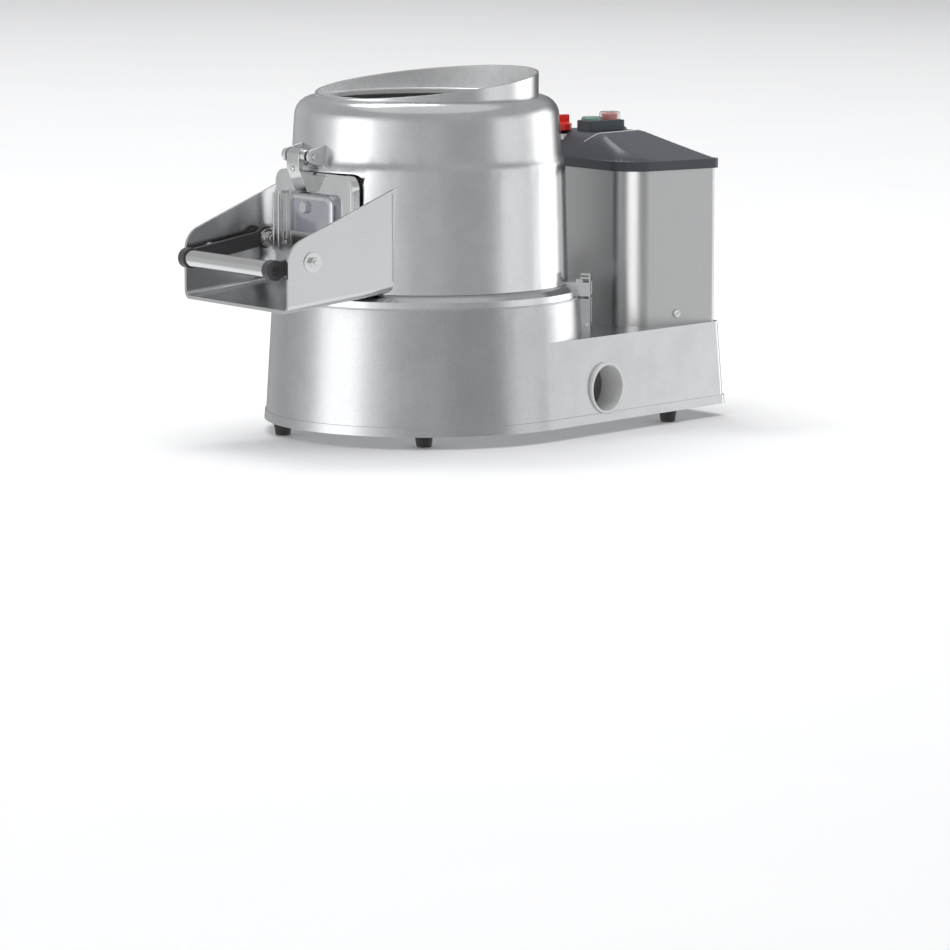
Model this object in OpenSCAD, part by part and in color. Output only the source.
// Tabletop drum peeler: an abrasive drum on a cast base, a motor in a steel housing
// behind it, and a lever-latched door that opens onto a chute.
// Millimetres. +X runs from the chute to the motor and +Z up; +Y is to the left of someone who
// stands at the chute and looks towards the motor. The origin is under the middle of the
// machine's box, at the level of the feet.

/* [Base] */
// Height of the rubber feet
foot_h = 15; // [10:1:30]
// Largest radius of a foot
foot_r = 11; // [8:0.5:16]
// Height of the ring that the drum stands on, above the ground
ring_h = 162; // [150:1:190]
// Outer radius of the ring at its top
ring_top_r = 186; // [180:1:220]
// Draft of the base's outer walls, in degrees
draft = 3.4; // [1:0.1:5]
// Wall thickness of the base casting
base_wall = 5; // [4:0.5:8]
// Height of the rear deck above the ground
deck_h = 117; // [110:1:125]
// Distance from the drum's axis to the rear end of the deck
rear_len = 368; // [350:1:470]
// Angle at which the sides of the deck close in towards the rear, in degrees
side_taper = 14.4; // [8:0.1:16]
// Height of the lip around the bottom of the base
lip_h = 11; // [6:1:16]

/* [Drain] */
// Bore radius of the drain outlet
drain_r = 27.5; // [15:0.5:30]
// Wall thickness of the outlet pipe
drain_wall = 3.5; // [2:0.5:4]
// Distance of the outlet from the drum's axis along the machine
drain_x = 150; // [140:1:165]
// Height of the outlet's centre
drain_z = 55; // [50:1:60]

/* [Drum] */
// Height of the drum, from the base ring to the neck's highest point
drum_h = 269.5; // [240:0.5:330]
// Outer radius of the drum wall at its foot
drum_r = 170; // [165:0.5:176]
// Wall thickness of the drum
drum_wall = 5; // [4:0.5:6]
// Outer radius of the loading neck
neck_r = 134; // [120:1:136]
// Radius of the loading opening
mouth_r = 114; // [90:1:118]
// Height of the neck above the shoulder, at its high side
neck_h = 30.5; // [20:0.5:40]
// Radius of the rounded shoulder
shoulder_r = 24; // [16:1:26]
// Thickness of the abrasive lining on the drum wall
liner_t = 3; // [2:0.5:4]

/* [Door] */
// Half width of the door plate
door_half_w = 83; // [76:1:86]
// Height of the door plate
door_h = 129; // [110:1:140]
// Thickness of the door plate
door_t = 10; // [6:0.5:12]
// Radius of the hinge pin
hinge_pin_r = 3.75; // [3:0.25:5]
// Distance of the hinge pin in front of the drum's axis
hinge_x = 175; // [174:0.5:178]
// Half width of the raised panel on the door
panel_half_w = 56; // [45:1:62]
// Thickness of the rubber gasket behind the door
gasket_t = 6; // [3:0.5:7]

/* [Lever] */
// Reach of the lever, from its pivots to the cross bar
lever_len = 110; // [90:1:112]
// Half the distance between the two lever arms, middle to middle
lever_half_w = 95; // [93:0.5:98]
// Radius of the cross bar
bar_r = 10; // [7:0.5:11]
// Thickness of a lever arm
arm_t = 6; // [4:0.5:7]
// Radius of the lever's pivot studs
stud_r = 4; // [3:0.25:5]

/* [Chute] */
// Outer half width of the chute
chute_half_w = 114; // [112:1:122]
// Distance from the drum's axis to the chute's front edge
chute_len = 271.5; // [265:0.5:290]
// Sheet thickness of the chute
chute_t = 4; // [3:0.5:5]
// Slope of the chute's floor, in degrees
chute_slope = 6.3; // [4:0.1:7]

/* [Drive] */
// Radius of the plate's drive shaft
shaft_r = 12.5; // [10:0.5:15]
// Outer radius of the two shaft bearings
bearing_r = 26; // [22:0.5:30]
// Radius of the driven pulley
big_pulley_r = 85; // [60:1:90]
// Radius of the motor pulley
small_pulley_r = 21; // [18:1:28]
// Radius of the peeling plate
plate_r = 153; // [140:1:156]
// Outer radius of the motor casing
motor_r = 58; // [50:1:60]
// Radius of the motor shaft
motor_shaft_r = 9; // [7:0.5:11]

/* [Housing] */
// Length of the motor housing along the machine
housing_len = 136; // [130:1:138]
// Half width of the motor housing
housing_half_w = 97; // [90:1:98]
// Height of the housing's top edge above the ground
housing_top = 306; // [300:1:330]
// Sheet thickness of the housing
sheet_t = 1.5; // [1:0.1:2]

/* [Controls] */
// Radius of the two push buttons
button_r = 10; // [8:0.5:11]
// Travel of the push buttons
button_travel = 2.5; // [1.5:0.25:3]
// Radius of the timer knob
knob_r = 16; // [12:0.5:18]

/* [Hidden] */
$fn = 96;

// Clearances
run_gap = 0.05;
free_gap = 0.3;

// Base
base_bottom = foot_h;
sheet_bottom_t = 2;
taper_n = [sin(side_taper), cos(side_taper)];
rear_corner_r = 12;
pan_rim_t = 1.5;
pan_wall = 4;
pan_floor_z = 88;
drum_z0 = ring_h + pan_rim_t;
foot_spots = [[-174, 51], [-97, -135], [278, -114], [278, 114]];
plate_screw_r = 2.5;
plate_screw_spots = [[-150, -80], [-60, 160], [60, -172], [190, 130], [345, 0], [-178, 0]];

// Drum
band_h = 13;
band_step = 4.7;
wall_lean = 3.8;
upper_lean = 2.7;
flange_r = ring_top_r - 2;
flange_t = 8;
foot_cone_h = 7.5;
drum_top = drum_z0 + drum_h;
shoulder_top = drum_top - neck_h;
shoulder_z = shoulder_top - shoulder_r;
band_top = shoulder_z - 44.5;
band_low_r = drum_r - wall_lean;
upper_r = band_low_r - band_step;
shoulder_cr = upper_r - upper_lean - shoulder_r;
neck_wall = 4;
neck_drop = 29.4;

// Door and its seat: x grows towards the drum
door_z0 = 188;
door_top = door_z0 + door_h;
seat_x = -(drum_r - 24);
door_back_x = seat_x - gasket_t;
door_face_x = door_back_x - door_t;
panel_depth = 9;
panel_face_x = door_face_x - panel_depth;
panel_y = 3;
panel_z0 = door_z0 + 10;
panel_top = door_top - 24;
seat_z0 = door_z0 - 4;
seat_top = door_top + 1.5;
seat_half_w = door_half_w - 1;
recess_half_w = door_half_w + 2;
corner_r = 16;
opening_half_w = door_half_w - 11;
opening_z0 = door_z0 + 6;
opening_top = door_top - 12;
hinge_z = door_top + 20;
ear_r = 9;
ear_t = 4;
ear_near_y = -20;
ear_far_y = 31;
knuckle_r = 8.5;
strap_y0 = -1;
strap_y1 = 25;
stud_x = door_face_x - 8;
stud_boss_r = 11;
bolt_z = panel_top - 17;
bolt_r = 5;
rib_t = 14;
rib_h = 73;
rib_depth = 8;
stud_z = 233.6;
ear_side_t = 6;
arm_y = lever_half_w;
stud_ear_y = arm_y - arm_t / 2 - 1;
lever_drop = 9.8;
boss_r = 12;
lever_screw_r = 3;
screw_recess_r = 5.6;
bar_x = stud_x - lever_len * cos(lever_drop);
bar_z = stud_z - lever_len * sin(lever_drop);

// Chute
chute_front_z = 164.5;
nose_r = 30;
nose_z = 222;
top_slope = 22.4;
chute_stud_x = -238;
chute_stud_z = 223.6;
chute_stud_r = 3;

// Drive
housing_x1 = rear_len - 3;
housing_x0 = housing_x1 - housing_len;
motor_x = (housing_x0 + housing_x1) / 2;
mount_t = 8;
motor_bolt_r = 4;
pulley_z0 = 36;
pulley_h = 22;
belt_t = 5;
belt_h = 16;
pulley_room = 6;
bearing_h = 15;
hub_r = bearing_r + 7;
hub_z0 = 56;
hub_h = 70;
plate_z0 = drum_z0 + 1;
plate_t = 10;
abrasive_t = 4;

// Cap
cap_lip = 4;
cap_skirt_h = 11;
cap_wall = 3;
cap_z0 = housing_top - 0.5;
cap_x0 = housing_x0 - cap_lip;
cap_x1 = housing_x1 + cap_lip;
cap_half_w = housing_half_w + cap_lip;
panel_z = housing_top + 41;
housing_front_r = 24;
housing_rear_r = 4;
side_screw_x = housing_x0 + 74;
side_screw_z = deck_h + 12.5;
side_screw_r = 2.5;
gland_y = 50;
gland_z = deck_h + 33;
gland_r = 8;
lead_r = 4;
switch_x = housing_x0 + 52;
switch_y = 30;
switch_l = 54;
switch_w = 30;
switch_h = 13;
button_pitch = 27;
knob_x = housing_x0 + 14;
knob_y = 66;
knob_grip_h = 10.5;
spindle_r = 3;
button_floor = 3;
button_rest = button_floor + button_travel + 0.5;

// Clamps
clamp_angle = 42;
clamp_pin_r = 2;
clamp_pin_at = ring_top_r + 8.5;
clamp_pin_z = deck_h + 13;
clamp_half_w = 7;
lug_face = ring_top_r + 12.5;
lug_w = 22;
lug_slot_x = clamp_pin_at - 5;
lug_ridge_h = 3.5;
upper_lug_top = drum_z0 + 17;

module from_drum() {
    translate([-(rear_len + flare(deck_h - base_bottom) + 1.5 + bar_x - boss_r) / 2, 0, 0]) children();
}

// How far a drafted wall moves out over a height
function flare(h) = h * tan(draft);
function ring_r(z) = ring_top_r + flare(ring_h - z);
function rear_at(z) = rear_len + flare(deck_h - z);
function side_y(r, x) = (r - taper_n[0] * x) / taper_n[1];
function on_circle(c, r, a) = c + r * [cos(a), sin(a)];
function arc(c, r, a0, a1, n) = [for (i = [0:n]) on_circle(c, r, a0 + (a1 - a0) * i / n)];

// Round corner at the rear of the deck
function rear_corner(r, x1, c) = arc([x1 - c, side_y(r - c, x1 - c)], c, 90 - side_taper, 0, 6);

// Half of the deck's outline, from inside the ring to the middle of the rear end
function deck_half(r, x1, c) =
    concat([[0, r * 0.8], [r * taper_n[0], r * taper_n[1]]], rear_corner(r, x1, c));

// Half of the whole base's outline, from the front of the ring to the rear end
function base_half(r, x1, c) =
    concat(arc([0, 0], r, 178, 90 - side_taper, 30), rear_corner(r, x1, c));

function mirrored(half) = concat(half, [for (i = [len(half) - 1:-1:0]) [half[i][0], -half[i][1]]]);

module deck_slab(inset, z, h) {
    translate([0, 0, z])
        linear_extrude(h)
            polygon(mirrored(deck_half(ring_r(z) - inset, rear_at(z) - inset, rear_corner_r)));
}

module deck_solid(inset, z0, z1) {
    hull() {
        deck_slab(inset, z0, 0.01);
        deck_slab(inset, z1 - 0.01, 0.01);
    }
}

module ring_solid(inset, z0, z1) {
    rotate_extrude()
        polygon([[0, z0], [ring_r(z0) - inset, z0], [ring_r(z1) - inset, z1], [0, z1]]);
}

module at_drain() {
    y = -side_y(ring_r(drain_z), drain_x);
    translate([drain_x, y, drain_z]) rotate([0, 0, -90 + side_taper]) rotate([0, 90, 0]) children();
}

module at_clamp(side) {
    rotate([0, 0, side * clamp_angle]) children();
}

// A cylinder along Y, centred on it
module along_y(r, h) {
    rotate([90, 0, 0])
        cylinder(r = r, h = h, center = true);
}

// Slot in both lugs that a clamp swings out of
module lug_slot(z0, z1) {
    half_w = clamp_half_w + 0.8;
    translate([lug_slot_x, -half_w, z0])
        cube([40, 2 * half_w, z1 - z0]);
}

// Lug on the ring, with a clamp's pin across its slot
module lower_lug(side) {
    z0 = deck_h - 2;
    z1 = ring_h - 1;
    at_clamp(side) difference() {
        translate([ring_top_r - 8, -lug_w / 2, z0])
            cube([lug_face - ring_top_r + 8, lug_w, z1 - z0]);
        lug_slot(clamp_pin_z - 6, z1 + 1);
    }
}

// Lug on the drum, with a ridge that the clamp hooks over
module upper_lug(side) {
    z0 = drum_z0 + 0.5;
    at_clamp(side) difference() {
        union() {
            translate([drum_r - 6, -lug_w / 2, z0])
                cube([lug_face - drum_r + 6, lug_w, upper_lug_top - z0]);
            translate([lug_slot_x - 9, -clamp_half_w, upper_lug_top - 1])
                cube([8.5, 2 * clamp_half_w, lug_ridge_h + 1]);
        }
        lug_slot(z0 - 1, upper_lug_top + 1);
    }
}

module base_casting() {
    color("silver") from_drum() difference() {
        union() {
            ring_solid(0, base_bottom, ring_h);
            deck_solid(0, base_bottom, deck_h);
            ring_solid(-1.5, base_bottom, base_bottom + lip_h);
            deck_solid(-1.5, base_bottom, base_bottom + lip_h);
            for (side = [-1, 1]) lower_lug(side);
        }
        ring_solid(base_wall, base_bottom - 1, ring_h + 1);
        deck_solid(base_wall, base_bottom - 1, deck_h - base_wall);
        translate([motor_x, 0, deck_h - base_wall - 1])
            cylinder(r = small_pulley_r + pulley_room, h = base_wall + 2);
        at_drain() translate([0, 0, -40])
            cylinder(r = drain_r + drain_wall, h = 80);
        for (side = [-1, 1]) at_clamp(side)
            translate([clamp_pin_at, 0, clamp_pin_z])
                along_y(clamp_pin_r, 2 * lug_w);
    }
}

module bottom_plate() {
    plate_edge_r = ring_r(base_bottom) - base_wall - free_gap;
    plate_rear = rear_at(base_bottom) - base_wall - free_gap;
    color("gainsboro") from_drum() difference() {
        translate([0, 0, base_bottom]) linear_extrude(sheet_bottom_t)
            polygon(mirrored(base_half(plate_edge_r, plate_rear, rear_corner_r)));
        for (p = plate_screw_spots) translate([p[0], p[1], base_bottom - 1])
            cylinder(r = plate_screw_r, h = sheet_bottom_t + 2);
    }
}

module plate_screws() {
    color("silver") from_drum() for (p = plate_screw_spots) translate([p[0], p[1], 0]) {
        translate([0, 0, base_bottom - 2.5])
            cylinder(r = plate_screw_r + 2, h = 2.5);
        translate([0, 0, base_bottom])
            cylinder(r = plate_screw_r, h = 10);
    }
}

module feet() {
    color("#1c1c1c") from_drum() for (p = foot_spots)
        translate([p[0], p[1], 0]) rotate_extrude()
            polygon([[0, 0], [foot_r - 3, 0], [foot_r - 2, 1], [foot_r, foot_h], [0, foot_h]]);
}

module drain_outlet() {
    color("whitesmoke") from_drum() at_drain() difference() {
        translate([0, 0, -30]) cylinder(r = drain_r + drain_wall, h = 33.5);
        translate([0, 0, -31]) cylinder(r = drain_r, h = 36);
    }
}

// Sump pocket behind the drain, in the drain's own directions
module sump(inset, z0, z1) {
    translate([drain_x, -side_y(ring_r(drain_z), drain_x), z0]) rotate([0, 0, side_taper])
        translate([-drain_r - 17 + inset, 12 + inset, 0])
            cube([2 * drain_r + 32 - 2 * inset, 50 - 2 * inset, z1 - z0]);
}

// Pan that catches the water under the plate, hung by its rim on the ring
module water_pan() {
    pan_r = ring_top_r - base_wall - free_gap;
    hole_r = hub_r + 0.2;
    rim_r = ring_top_r - 0.5;
    floor_top = pan_floor_z + pan_wall;
    color("lightgray") from_drum() difference() {
        union() {
            rotate_extrude()
                polygon([[hole_r, pan_floor_z], [pan_r, pan_floor_z], [pan_r, ring_h], [rim_r, ring_h],
                    [rim_r, drum_z0], [pan_r - pan_wall, drum_z0], [pan_r - pan_wall, floor_top],
                    [hole_r, floor_top]]);
            sump(0, drain_z - drain_r - pan_wall, floor_top);
        }
        intersection() {
            sump(pan_wall, drain_z - drain_r, floor_top + 1);
            union() {
                cylinder(r = pan_r - pan_wall, h = 200);
                cylinder(r = 400, h = pan_floor_z);
            }
        }
        at_drain() translate([0, 0, -30]) cylinder(r = drain_r + drain_wall, h = 60);
    }
}

module bearing_housing() {
    color("darkgray") from_drum() difference() {
        union() {
            translate([0, 0, hub_z0]) cylinder(r = hub_r, h = hub_h);
            translate([0, 0, pan_floor_z - 6]) cylinder(r = hub_r + 22, h = 6);
        }
        translate([0, 0, hub_z0 - 1]) cylinder(r = bearing_r, h = bearing_h + 1);
        translate([0, 0, hub_z0 - 1]) cylinder(r = bearing_r - 3, h = hub_h - 4);
        translate([0, 0, hub_z0 + hub_h - 5 - bearing_h]) cylinder(r = bearing_r, h = bearing_h + 6);
        for (a = [45:90:315]) rotate([0, 0, a]) translate([hub_r + 13, 0, pan_floor_z - 7])
            cylinder(r = 4, h = 8);
    }
}

module bearing_bolts() {
    color("silver") from_drum() for (a = [45:90:315]) rotate([0, 0, a]) translate([hub_r + 13, 0, 0]) {
        translate([0, 0, pan_floor_z - 11]) cylinder(r = 7, h = 5, $fn = 6);
        translate([0, 0, pan_floor_z - 6]) cylinder(r = 4, h = 6);
    }
}

module ball_bearing(z0) {
    from_drum() translate([0, 0, z0]) difference() {
        cylinder(r = bearing_r, h = bearing_h);
        translate([0, 0, -1]) cylinder(r = shaft_r + run_gap, h = bearing_h + 2);
        for (z = [-1, bearing_h - 1]) translate([0, 0, z]) difference() {
            cylinder(r = bearing_r - 4, h = 2);
            cylinder(r = shaft_r + 4, h = 2);
        }
    }
}

module lower_bearing() {
    color("lightsteelblue") ball_bearing(hub_z0);
}

module upper_bearing() {
    color("lightsteelblue") ball_bearing(hub_z0 + hub_h - 5 - bearing_h);
}

module shaft_seal() {
    color("#2a2a2a") from_drum() translate([0, 0, hub_z0 + hub_h - 5]) difference() {
        cylinder(r = bearing_r, h = 5);
        translate([0, 0, -1]) cylinder(r = shaft_r + run_gap, h = 7);
    }
}

module drive_shaft() {
    color("gray") from_drum() {
        translate([0, 0, pulley_z0 - 4]) cylinder(r = shaft_r, h = plate_z0 - 3 - pulley_z0 + 4);
        translate([0, 0, plate_z0 - 3]) cylinder(r = shaft_r - 3, h = plate_t + 3);
    }
}

// A pulley rim with five grooves for a ribbed belt
module pulley(r, bore) {
    n = 5;
    g = belt_h / n;
    z0 = (pulley_h - belt_h) / 2;
    rotate_extrude()
        polygon(concat([[bore, 0], [r + 2, 0], [r + 2, z0 - 1], [r, z0]],
            [for (i = [0:n - 1]) each [[r - 1.5, z0 + (i + 0.5) * g], [r, z0 + (i + 1) * g]]],
            [[r + 2, pulley_h - z0 + 1], [r + 2, pulley_h], [bore, pulley_h]]));
}

module driven_pulley() {
    color("dimgray") from_drum() translate([0, 0, pulley_z0]) {
        pulley(big_pulley_r, big_pulley_r - 8);
        difference() {
            translate([0, 0, 8]) cylinder(r = big_pulley_r - 8, h = 6);
            translate([0, 0, 7]) cylinder(r = shaft_r, h = 8);
            for (a = [0:60:300]) rotate([0, 0, a]) translate([(big_pulley_r + shaft_r) / 2, 0, 7])
                cylinder(r = (big_pulley_r - shaft_r) / 4, h = 8);
        }
        difference() {
            cylinder(r = shaft_r + 9, h = hub_z0 - pulley_z0 - 0.5);
            translate([0, 0, -1]) cylinder(r = shaft_r, h = 30);
        }
    }
}

// Outline of a belt round two pulleys, r outside each pulley's rim
module belt_outline(r) {
    r1 = big_pulley_r + r;
    r2 = small_pulley_r + r;
    b = acos((r1 - r2) / motor_x);
    circle(r = r1);
    translate([motor_x, 0]) circle(r = r2);
    polygon([r1 * [cos(b), sin(b)], [motor_x, 0] + r2 * [cos(b), sin(b)],
        [motor_x, 0] + r2 * [cos(b), -sin(b)], r1 * [cos(b), -sin(b)]]);
}

module drive_belt() {
    color("#262626") from_drum() translate([0, 0, pulley_z0 + (pulley_h - belt_h) / 2])
        linear_extrude(belt_h) difference() {
            belt_outline(free_gap + belt_t);
            belt_outline(free_gap);
        }
}

module drive_pulley() {
    color("dimgray") from_drum() translate([motor_x, 0, pulley_z0])
        pulley(small_pulley_r, motor_shaft_r);
}

module motor_shaft() {
    color("gray") from_drum() translate([motor_x, 0, pulley_z0 - 3])
        cylinder(r = motor_shaft_r, h = 246);
}

module motor_rotor() {
    color("slategray") from_drum() translate([motor_x, 0, 166]) difference() {
        cylinder(r = motor_r - 24, h = 66);
        translate([0, 0, -1]) cylinder(r = motor_shaft_r, h = 68);
    }
}

module motor_casing() {
    z0 = deck_h + 8;
    h = 138;
    color("steelblue") from_drum() translate([motor_x, 0, z0]) difference() {
        union() {
            cylinder(r = motor_r - 4, h = h);
            for (a = [0:12:348]) rotate([0, 0, a]) translate([motor_r - 6, -1, 14]) cube([6, 2, h - 28]);
            cylinder(r = motor_r, h = 10);
            translate([0, 0, h - 10]) cylinder(r = motor_r, h = 10);
        }
        translate([0, 0, 8]) cylinder(r = motor_r - 12, h = h - 16);
        translate([0, 0, -1]) cylinder(r = motor_shaft_r + run_gap, h = h + 2);
    }
}

module motor_fan() {
    color("#333333") from_drum() translate([motor_x, 0, deck_h + 150]) difference() {
        union() {
            cylinder(r = motor_shaft_r + 6, h = 12);
            cylinder(r = motor_r - 12, h = 2);
            for (a = [0:45:315]) rotate([0, 0, a]) translate([motor_shaft_r + 3, -1, 0])
                cube([motor_r - 22, 2, 12]);
        }
        translate([0, 0, -1]) cylinder(r = motor_shaft_r, h = 14);
    }
}

// Places on the motor mount for its four bolts
module at_motor_bolts() {
    for (x = [-1, 1], y = [-1, 1])
        translate([motor_x + x * (motor_r - 8), y * (motor_r - 5), deck_h]) children();
}

module motor_mount() {
    half_l = motor_r + 2;
    half_w = motor_r + 3;
    color("silver") from_drum() difference() {
        translate([motor_x - half_l, -half_w, deck_h])
            cube([2 * half_l, 2 * half_w, mount_t]);
        translate([motor_x, 0, deck_h - 1])
            cylinder(r = small_pulley_r + pulley_room, h = mount_t + 2);
        at_motor_bolts() translate([0, 0, -1])
            cylinder(r = motor_bolt_r, h = mount_t + 2);
    }
}

module motor_bolts() {
    color("silver") from_drum() at_motor_bolts() {
        cylinder(r = motor_bolt_r, h = mount_t);
        translate([0, 0, mount_t])
            cylinder(r = motor_bolt_r + 2.5, h = 5, $fn = 6);
    }
}

// Run capacitor in the corner of the housing, with its two tabs
module capacitor() {
    can_r = 15;
    can_h = 70;
    color("whitesmoke") from_drum()
        translate([housing_x1 - can_r - 7, -housing_half_w + sheet_t + 1 + can_r, deck_h]) {
            cylinder(r = can_r, h = can_h);
            translate([0, 0, can_h])
                cylinder(r = can_r - 6, h = 4);
            for (s = [-1, 1]) translate([s * 4 - 0.5, -3, can_h + 4])
                cube([1, 6, 8]);
        }
}

// Plan outline of the housing, grown by g
function housing_outline(g) =
    let (front = housing_x0 + housing_front_r, front_y = housing_half_w - housing_front_r,
        rear = housing_x1 - housing_rear_r, rear_y = housing_half_w - housing_rear_r)
    concat(arc([front, -front_y], housing_front_r + g, 180, 270, 8),
        arc([rear, -rear_y], housing_rear_r + g, 270, 360, 3),
        arc([rear, rear_y], housing_rear_r + g, 0, 90, 3),
        arc([front, front_y], housing_front_r + g, 90, 180, 8));

module motor_housing() {
    color("gainsboro") from_drum() difference() {
        translate([0, 0, deck_h]) linear_extrude(housing_top + 3 - deck_h)
            polygon(housing_outline(0));
        translate([0, 0, deck_h - 1]) linear_extrude(housing_top + 5 - deck_h)
            polygon(housing_outline(-sheet_t));
        for (s = [-1, 1]) translate([side_screw_x, s * housing_half_w, side_screw_z])
            along_y(side_screw_r, 10);
        at_gland() cylinder(r = gland_r, h = 10, center = true);
    }
}

module housing_screws() {
    color("silver") from_drum() for (s = [-1, 1])
        translate([side_screw_x, s * housing_half_w, side_screw_z]) rotate([-s * 90, 0, 0]) {
            difference() {
                cylinder(r1 = side_screw_r + 2.7, r2 = side_screw_r + 2.1, h = 2);
                rotate([0, 0, 35]) translate([-6, -0.6, 0.9])
                    cube([12, 1.2, 2]);
            }
            translate([0, 0, -10])
                cylinder(r = side_screw_r, h = 10);
        }
}

// Place of the cable gland in the housing's rear wall
module at_gland() {
    translate([housing_x1, gland_y, gland_z]) rotate([0, 90, 0]) children();
}

module cable_gland() {
    color("#2a2a2a") from_drum() at_gland() difference() {
        union() {
            translate([0, 0, -12])
                cylinder(r = gland_r, h = 14);
            translate([0, 0, -8])
                cylinder(r = gland_r + 4, h = 5, $fn = 6);
            cylinder(r = gland_r + 4, h = 5, $fn = 6);
            translate([0, 0, 5])
                cylinder(r = gland_r + 1, h = 4);
        }
        translate([0, 0, -13])
            cylinder(r = lead_r, h = 24);
    }
}

// Top of the cap: it rises from the near edge to a level control platform
module cap_top(w, z0) {
    hull() {
        translate([0, 0, z0]) linear_extrude(0.01)
            polygon(housing_outline(cap_lip - w));
        translate([0, 0, cap_z0 + cap_skirt_h - w]) linear_extrude(0.01)
            polygon(housing_outline(cap_lip - w));
        translate([cap_x0 + 6 + w, 14, panel_z - w - 0.01])
            cube([92 - w, 78 - w, 0.01]);
        translate([cap_x1 - 12, 64, panel_z - 5 - w - 0.01])
            cube([10 - w, 24 - w, 0.01]);
    }
}

module cap() {
    color("#3f4349") from_drum() difference() {
        cap_top(0, cap_z0);
        cap_top(cap_wall, housing_top + 3);
        translate([0, 0, cap_z0 - 1]) linear_extrude(housing_top + 4.2 - cap_z0)
            polygon(housing_outline(free_gap));
        translate([knob_x, knob_y, panel_z - 10])
            cylinder(r = spindle_r + 1, h = 12);
        translate([switch_x - 22, switch_y - 10, panel_z - 10])
            cube([44, 20, 12]);
    }
}

module switch_box() {
    color("#4a5057") from_drum() translate([switch_x, switch_y, panel_z]) difference() {
        hull() for (x = [-1, 1], y = [-1, 1])
            translate([x * (switch_l / 2 - 4), y * (switch_w / 2 - 4), 0])
                cylinder(r = 4, h = switch_h, $fn = 32);
        for (s = [-1, 1]) translate([s * button_pitch / 2, 0, button_floor])
            cylinder(r = button_r + run_gap, h = switch_h);
    }
}

module switch_block() {
    color("#303030") from_drum() translate([switch_x - 21, switch_y - 9, panel_z - 34]) {
        cube([42, 18, 34]);
        for (x = [3:12:39]) translate([x, 4, -5]) cube([2, 10, 5]);
    }
}

module button(side, top) {
    from_drum() translate([switch_x + side * button_pitch / 2, switch_y, panel_z + button_rest])
        cylinder(r = button_r, h = switch_h - button_rest + top);
}

module start_button() {
    color("seagreen") button(-1, 2.5);
}

module stop_button() {
    color("crimson") button(1, 7);
}

module button_cover(side, h) {
    cover_r = button_pitch / 2 - 0.2;
    from_drum() translate([switch_x + side * button_pitch / 2, switch_y, panel_z + switch_h]) difference() {
        rotate_extrude()
            polygon([[0, 0], [cover_r, 0], [cover_r, 1], [cover_r - 0.8, h - 1], [cover_r - 1.8, h], [0, h]]);
        translate([0, 0, -1])
            cylinder(r = button_r + 1.2, h = h);
    }
}

module start_cover() {
    color([0.75, 0.85, 0.8, 0.5]) button_cover(-1, 4.5);
}

module stop_cover() {
    color([0.9, 0.88, 0.88, 0.5]) button_cover(1, 10);
}

module timer_body() {
    color("ivory") from_drum() translate([knob_x, knob_y, panel_z - cap_wall - 1]) {
        translate([-6, -18, -36])
            cube([36, 36, 36]);
        cylinder(r = spindle_r, h = cap_wall + 13);
    }
}

module timer_knob() {
    color("red") from_drum() translate([knob_x, knob_y, panel_z + 0.4]) difference() {
        union() {
            cylinder(r = knob_r, h = 8);
            translate([0, 0, 8])
                cylinder(r = knob_r - 3, h = 1.5);
            intersection() {
                translate([-knob_r, -4.5, 8])
                    cube([2 * knob_r, 9, knob_grip_h]);
                cylinder(r = knob_r - 2, h = 30);
            }
        }
        translate([0, 0, -1])
            cylinder(r = spindle_r + run_gap, h = 14);
    }
}

module peeling_plate() {
    color("silver") from_drum() translate([0, 0, plate_z0]) difference() {
        union() {
            cylinder(r = plate_r, h = plate_t);
            translate([0, 0, -3]) cylinder(r = 40, h = 4);
        }
        translate([0, 0, -4]) cylinder(r = shaft_r - 3, h = plate_t + 6);
        translate([0, 0, -4]) cylinder(r = shaft_r, h = 1);
    }
}

module plate_abrasive() {
    color("dimgray") from_drum() translate([0, 0, plate_z0 + plate_t]) {
        difference() {
            cylinder(r = plate_r - 1, h = abrasive_t);
            translate([0, 0, -1]) cylinder(r = 22, h = abrasive_t + 2);
        }
        for (a = [0:120:240]) rotate([0, 0, a]) difference() {
            translate([(plate_r + 22) / 2, 0, abrasive_t]) rotate([90, 0, 90])
                cylinder(r = 14, h = plate_r - 50, center = true);
            translate([0, -20, -20]) cube([plate_r, 40, 20 + abrasive_t]);
            translate([0, -20, abrasive_t + 4]) cube([plate_r, 40, 20]);
        }
    }
}

module centre_bolt() {
    color("gainsboro") from_drum() translate([0, 0, plate_z0 + plate_t]) {
        cylinder(r = 20, h = 2.5);
        translate([0, 0, 2.5]) cylinder(r = 11, h = 8, $fn = 6);
    }
}

// Outer outline of the drum wall, moved in by i
function drum_wall_line(i) = concat(
    [[0, drum_z0], [drum_r - i, drum_z0], [band_low_r - i, band_top - band_h], [upper_r - i, band_top]],
    arc([shoulder_cr, shoulder_z], shoulder_r - i, 0, 90, 6),
    [[0, shoulder_top - i]]);

// Block behind the door, whose flat front is the door's seat
module seat_block() {
    translate([seat_x, 0, 0]) rotate([90, 0, 90]) linear_extrude(60)
        round_top(seat_half_w, seat_z0, seat_top - 2.5, corner_r);
}

// Upright outline with two round corners at its top
module round_top(half_w, z0, z1, r) {
    translate([-half_w, z0])
        square([2 * half_w, z1 - z0 - r]);
    translate([-half_w + r, z0])
        square([2 * half_w - 2 * r, z1 - z0]);
    for (s = [-1, 1]) translate([s * (half_w - r), z1 - r])
        circle(r = r);
}

// The foot flange of the drum and its fillet, from the height z0
module drum_foot(z0) {
    fillet_z = drum_z0 + flange_t + foot_cone_h;
    rotate_extrude()
        polygon([[0, z0], [flange_r, z0], [flange_r, drum_z0 + flange_t], [drum_r + 0.5, fillet_z],
            [0, fillet_z]]);
}

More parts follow.
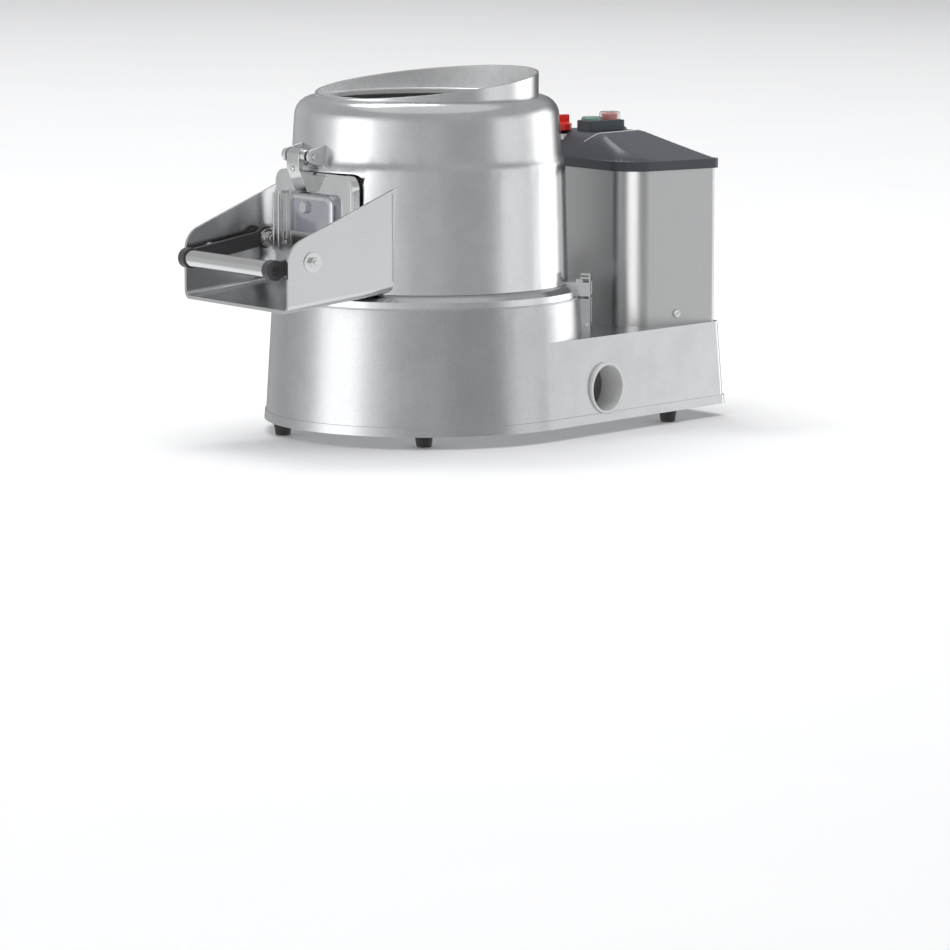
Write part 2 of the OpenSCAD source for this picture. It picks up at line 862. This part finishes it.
module drum_shell() {
    tilt = atan(neck_drop / (2 * neck_r));
    far = 2 * drum_r;
    color("silver") from_drum() difference() {
        union() {
            rotate_extrude()
                polygon(drum_wall_line(0));
            drum_foot(drum_z0);
            seat_block();
            translate([0, 0, shoulder_top - 3])
                cylinder(r = neck_r, h = neck_h + 3);
            for (side = [-1, 1]) upper_lug(side);
        }
        translate([seat_x - far, 0, 0]) rotate([90, 0, 90]) linear_extrude(far) union()
            round_top(recess_half_w, seat_z0, seat_top, corner_r + 1);
        rotate_extrude()
            polygon(drum_inner_line(drum_wall));
        translate([seat_x - 30, -opening_half_w, opening_z0])
            cube([120, 2 * opening_half_w, opening_top - opening_z0]);
        translate([0, 0, shoulder_top - 20])
            cylinder(r = mouth_r, h = 80);
        translate([0, 0, shoulder_top])
            cylinder(r = neck_r - neck_wall, h = 80);
        translate([neck_r, 0, drum_top]) rotate([0, -tilt, 0]) translate([-far, -drum_r, 0])
            cube([far + 100, 2 * drum_r, 100]);
    }
}

// Outline of the space inside the drum, i in from the outside, open at its foot
function drum_inner_line(i) = concat([[0, drum_z0 - 1]],
    [for (p = drum_wall_line(i)) if (p[0] > 0) p[1] == drum_z0 ? [p[0], drum_z0 - 1] : p],
    [[0, shoulder_top - i]]);

module wall_liner() {
    z0 = opening_z0 - 8;
    z1 = band_top - band_h - 4;
    color("#5d5a55") from_drum() difference() {
        intersection() {
            rotate_extrude()
                polygon(drum_inner_line(drum_wall));
            translate([0, 0, z0])
                cylinder(r = drum_r, h = z1 - z0);
        }
        rotate_extrude()
            polygon(drum_inner_line(drum_wall + liner_t));
        translate([-drum_r, -opening_half_w - 6, 0])
            cube([drum_r, 2 * opening_half_w + 12, drum_top]);
    }
}

module clamp_pins() {
    color("silver") from_drum() for (side = [-1, 1]) at_clamp(side)
        translate([clamp_pin_at, 0, clamp_pin_z])
            along_y(clamp_pin_r, lug_w);
}

// Hooked strap that swings out of its slot about the pin
module clamp(side) {
    t = 2;
    front = lug_face - 0.5;
    prong = 12;
    hook_z = upper_lug_top + lug_ridge_h + free_gap;
    from_drum() at_clamp(side) difference() {
        union() {
            translate([clamp_pin_at, 0, clamp_pin_z])
                along_y(clamp_pin_r + 2, 2 * clamp_half_w);
            translate([front - t, -clamp_half_w, clamp_pin_z])
                cube([t, 2 * clamp_half_w, hook_z + 6.5 - clamp_pin_z]);
            for (z = [hook_z, hook_z + 4.5]) translate([front - prong, -clamp_half_w, z])
                cube([prong, 2 * clamp_half_w, t]);
        }
        translate([clamp_pin_at, 0, clamp_pin_z])
            along_y(clamp_pin_r + run_gap, 20);
    }
}

module near_clamp() {
    color("white") clamp(-1);
}

module far_clamp() {
    color("white") clamp(1);
}

// Side outline of the chute: straight front, rounded nose, sloping top edge
module chute_side() {
    end_x = -90;
    top_x = -chute_len + nose_r * (1 - sin(top_slope));
    top_z = nose_z + nose_r * cos(top_slope);
    polygon(concat([[-chute_len, chute_front_z]],
        arc([-chute_len + nose_r, nose_z], nose_r, 180, 90 + top_slope, 8),
        [[end_x, top_z + tan(top_slope) * (end_x - top_x)],
            [end_x, chute_front_z + tan(chute_slope) * (chute_len + end_x)]]));
}

// Trough outline, inset from the outside, with two round corners at the floor
module chute_section(inset, r) {
    w = chute_half_w - inset;
    translate([-w, inset + r])
        square([2 * w, 200]);
    translate([-w + r, inset])
        square([2 * w - 2 * r, 200]);
    for (s = [-1, 1]) translate([s * (w - r), inset + r])
        circle(r = r);
}

module chute() {
    color("silver") from_drum() difference() {
        intersection() {
            translate([0, 150, 0]) rotate([90, 0, 0]) linear_extrude(300)
                chute_side();
            translate([-chute_len, 0, chute_front_z]) rotate([0, -chute_slope, 0]) translate([-30, 0, 0])
                rotate([90, 0, 90]) linear_extrude(250) difference() {
                    chute_section(0, chute_t + 6);
                    chute_section(chute_t, 6);
                }
        }
        rotate_extrude()
            polygon(drum_wall_line(0));
        drum_foot(100);
        for (s = [-1, 1]) translate([chute_stud_x, s * chute_half_w, chute_stud_z])
            along_y(chute_stud_r, 20);
    }
}

module chute_studs() {
    color("gainsboro") from_drum() for (s = [-1, 1])
        translate([chute_stud_x, s * chute_half_w, chute_stud_z]) rotate([-s * 90, 0, 0]) {
            translate([0, 0, -chute_t - 2])
                cylinder(r = chute_stud_r, h = chute_t + 11);
            translate([0, 0, -chute_t - 4.5])
                cylinder(r1 = 5, r2 = 6.5, h = 4.5);
            cylinder(r = 12, h = 1.6);
            translate([0, 0, 1.6])
                cylinder(r = 6.4, h = 5, $fn = 6);
        }
}

// Upright plate across the machine, with four round corners
module rounded_plate(half_w, z0, z1, r, t) {
    rotate([90, 0, 90]) linear_extrude(t) union() {
        translate([-half_w, z0 + r])
            square([2 * half_w, z1 - z0 - 2 * r]);
        translate([-half_w + r, z0])
            square([2 * half_w - 2 * r, z1 - z0]);
        for (s = [-1, 1], z = [z0 + r, z1 - r]) translate([s * (half_w - r), z])
            circle(r = r);
    }
}

// Raised panel on the door, with rounded edges
module door_panel() {
    hull() {
        translate([panel_face_x, panel_y, 0])
            rounded_plate(panel_half_w - 4, panel_z0 + 4, panel_top - 4, 8, 0.5);
        translate([panel_face_x + 3, panel_y, 0])
            rounded_plate(panel_half_w - 1, panel_z0 + 1, panel_top - 1, 11, 0.5);
        translate([door_face_x, panel_y, 0])
            rounded_plate(panel_half_w, panel_z0, panel_top, 12, 1);
    }
}

// Upright grip rib along the panel's far edge
module door_rib() {
    translate([panel_face_x - rib_depth, panel_y + panel_half_w - rib_t, panel_top - rib_h])
        cube([rib_depth + 4, rib_t, rib_h]);
}

// Two ears beside the door that carry the lever's pivots
module stud_ears() {
    ear_w = stud_ear_y - door_half_w + 6;
    for (s = [-1, 1]) {
        translate([stud_x, s * (stud_ear_y - ear_side_t / 2), stud_z])
            along_y(stud_boss_r, ear_side_t);
        translate([stud_x, s * (stud_ear_y - ear_side_t / 2) - ear_side_t / 2, stud_z - stud_boss_r])
            cube([door_face_x - stud_x + 4, ear_side_t, 2 * stud_boss_r]);
        translate([door_face_x, s * (stud_ear_y - ear_w / 2) - ear_w / 2, stud_z - stud_boss_r])
            cube([door_t, ear_w, 2 * stud_boss_r]);
    }
}

module door_plate() {
    color("#d5d8dc") from_drum() difference() {
        union() {
            translate([door_face_x, 0, 0])
                rounded_plate(door_half_w, door_z0, door_top, corner_r, door_t);
            door_panel();
            door_rib();
            stud_ears();
        }
        translate([stud_x, 0, stud_z])
            along_y(stud_r, 4 * door_half_w);
        translate([panel_face_x - 1, panel_y, bolt_z]) rotate([0, 90, 0])
            cylinder(r = bolt_r, h = 9);
    }
}

module door_gasket() {
    color("#222222") from_drum() translate([door_back_x, 0, 0]) difference() {
        rounded_plate(door_half_w - 4, door_z0 + 2, door_top - 4, corner_r - 4, gasket_t - free_gap);
        translate([-1, 0, 0])
            rounded_plate(opening_half_w + 1, opening_z0 + 1, opening_top + 1, 6, gasket_t + 2);
    }
}

// Bracket from the hinge pin down to the top of the raised panel
module door_strap() {
    w = strap_y1 - strap_y0;
    t = 3;
    front_x = -hinge_x - knuckle_r;
    color("gainsboro") from_drum() difference() {
        translate([0, strap_y1, 0]) rotate([90, 0, 0]) linear_extrude(w) union() {
            translate([-hinge_x, hinge_z])
                circle(r = knuckle_r);
            polygon([[front_x, hinge_z], [front_x, hinge_z - 16], [panel_face_x, panel_top + 1],
                [panel_face_x + 5, panel_top + 1], [door_face_x, panel_top + 1],
                [door_face_x, door_top - 4], [-hinge_x - t, hinge_z - 16], [-hinge_x, hinge_z - 2]]);
        }
        translate([-hinge_x, 0, hinge_z])
            along_y(hinge_pin_r + run_gap, 200);
    }
}

module door_bolt() {
    color("gainsboro") from_drum() translate([panel_face_x, panel_y, bolt_z]) rotate([0, 90, 0]) {
        cylinder(r = bolt_r, h = 8);
        translate([0, 0, -5])
            cylinder(r = bolt_r + 2.5, h = 5, $fn = 6);
    }
}

// Two ears on the drum that hold the hinge pin
module hinge_ears() {
    root_x = -upper_r + 9;
    color("gainsboro") from_drum() difference() {
        for (y = [ear_near_y, ear_far_y]) translate([0, y + ear_t / 2, 0])
            rotate([90, 0, 0]) linear_extrude(ear_t) union() {
                translate([-hinge_x, hinge_z])
                    circle(r = ear_r);
                polygon([[-hinge_x - 4, hinge_z + 8], [root_x, hinge_z + 15], [root_x, hinge_z - 12],
                    [-hinge_x, hinge_z - ear_r]]);
            }
        rotate_extrude()
            polygon(drum_wall_line(0));
        translate([-hinge_x, 0, hinge_z])
            along_y(hinge_pin_r, 200);
    }
}

module hinge_pin() {
    head_t = 4;
    head_y = ear_far_y + ear_t / 2 + 0.5;
    tail_y = ear_near_y - ear_t / 2 - 3;
    color("silver") from_drum() translate([-hinge_x, 0, hinge_z]) rotate([90, 0, 0]) {
        translate([0, 0, -head_y - head_t])
            cylinder(r = hinge_pin_r, h = head_y + head_t - tail_y);
        translate([0, 0, -head_y - head_t])
            cylinder(r = hinge_pin_r + 4.25, h = head_t);
    }
}

module door_spring() {
    wire = 0.9;
    coil = hinge_pin_r + 2.4;
    color("silver") from_drum() translate([-hinge_x, strap_y0 - 1.4, hinge_z]) rotate([90, 0, 0])
        for (i = [0:3]) translate([0, 0, i * (2 * wire + 0.1)])
            rotate_extrude() translate([coil, 0]) circle(r = wire);
}

// Pivot studs of the lever: shank, outer head, washer and inner nut
module door_studs() {
    head_t = 2.5;
    washer_t = 1.5;
    nut_t = 5.5;
    out = arm_y + arm_t / 2 + 0.5;
    root = stud_ear_y - ear_side_t;
    color("gainsboro") from_drum() for (s = [-1, 1]) translate([stud_x, 0, stud_z]) rotate([-s * 90, 0, 0]) {
        translate([0, 0, root - 9])
            cylinder(r = stud_r, h = out - root + 9);
        translate([0, 0, out])
            cylinder(r = stud_r + 5, h = head_t);
        translate([0, 0, root - washer_t])
            cylinder(r = stud_r + 3.7, h = washer_t);
        translate([0, 0, root - washer_t - nut_t])
            cylinder(r = stud_r + 3.3, h = nut_t, $fn = 6);
    }
}

// The lever's arms, each with a boss at the bar and a recess for its screw
module lever_arms() {
    color("#3b3d40") from_drum() for (s = [-1, 1]) difference() {
        union() {
            translate([0, s * arm_y + arm_t / 2, 0]) rotate([90, 0, 0]) linear_extrude(arm_t) union() {
                translate([stud_x, stud_z])
                    circle(r = boss_r + 1);
                translate([bar_x, bar_z])
                    circle(r = boss_r);
                translate([stud_x, stud_z]) rotate(180 + lever_drop) translate([0, -9])
                    square([lever_len, 18]);
            }
            translate([bar_x, s * (arm_y - arm_t / 2 - 3), bar_z])
                along_y(boss_r, 6);
        }
        translate([stud_x, s * arm_y, stud_z])
            along_y(stud_r + run_gap, 30);
        translate([bar_x, s * arm_y, bar_z])
            along_y(lever_screw_r, 30);
        translate([bar_x, s * (arm_y + arm_t / 2), bar_z])
            along_y(screw_recess_r, 8);
    }
}

module lever_bar() {
    color("gainsboro") from_drum() translate([bar_x, 0, bar_z]) difference() {
        along_y(bar_r, 2 * (arm_y - arm_t / 2 - 6));
        along_y(lever_screw_r, 4 * arm_y);
    }
}

module lever_screws() {
    color("#1d1d1d") from_drum() for (s = [-1, 1])
        translate([bar_x, s * (arm_y + arm_t / 2 - 4), bar_z]) rotate([-s * 90, 0, 0]) difference() {
            union() {
                cylinder(r = screw_recess_r - 0.4, h = 2.5);
                translate([0, 0, -20])
                    cylinder(r = lever_screw_r, h = 20);
            }
            translate([0, 0, 1])
                cylinder(r = lever_screw_r - 0.5, h = 3, $fn = 6);
        }
}

base_casting();
bottom_plate();
plate_screws();
feet();
drain_outlet();
water_pan();
bearing_housing();
bearing_bolts();
lower_bearing();
upper_bearing();
shaft_seal();
drive_shaft();
driven_pulley();
drive_belt();
drive_pulley();
motor_shaft();
motor_rotor();
motor_casing();
motor_fan();
motor_mount();
motor_bolts();
capacitor();
motor_housing();
housing_screws();
cable_gland();
cap();
switch_box();
switch_block();
start_button();
stop_button();
start_cover();
stop_cover();
timer_body();
timer_knob();
peeling_plate();
plate_abrasive();
centre_bolt();
drum_shell();
wall_liner();
clamp_pins();
near_clamp();
far_clamp();
chute();
chute_studs();
door_plate();
door_gasket();
door_strap();
door_bolt();
hinge_ears();
hinge_pin();
door_spring();
door_studs();
lever_arms();
lever_bar();
lever_screws();
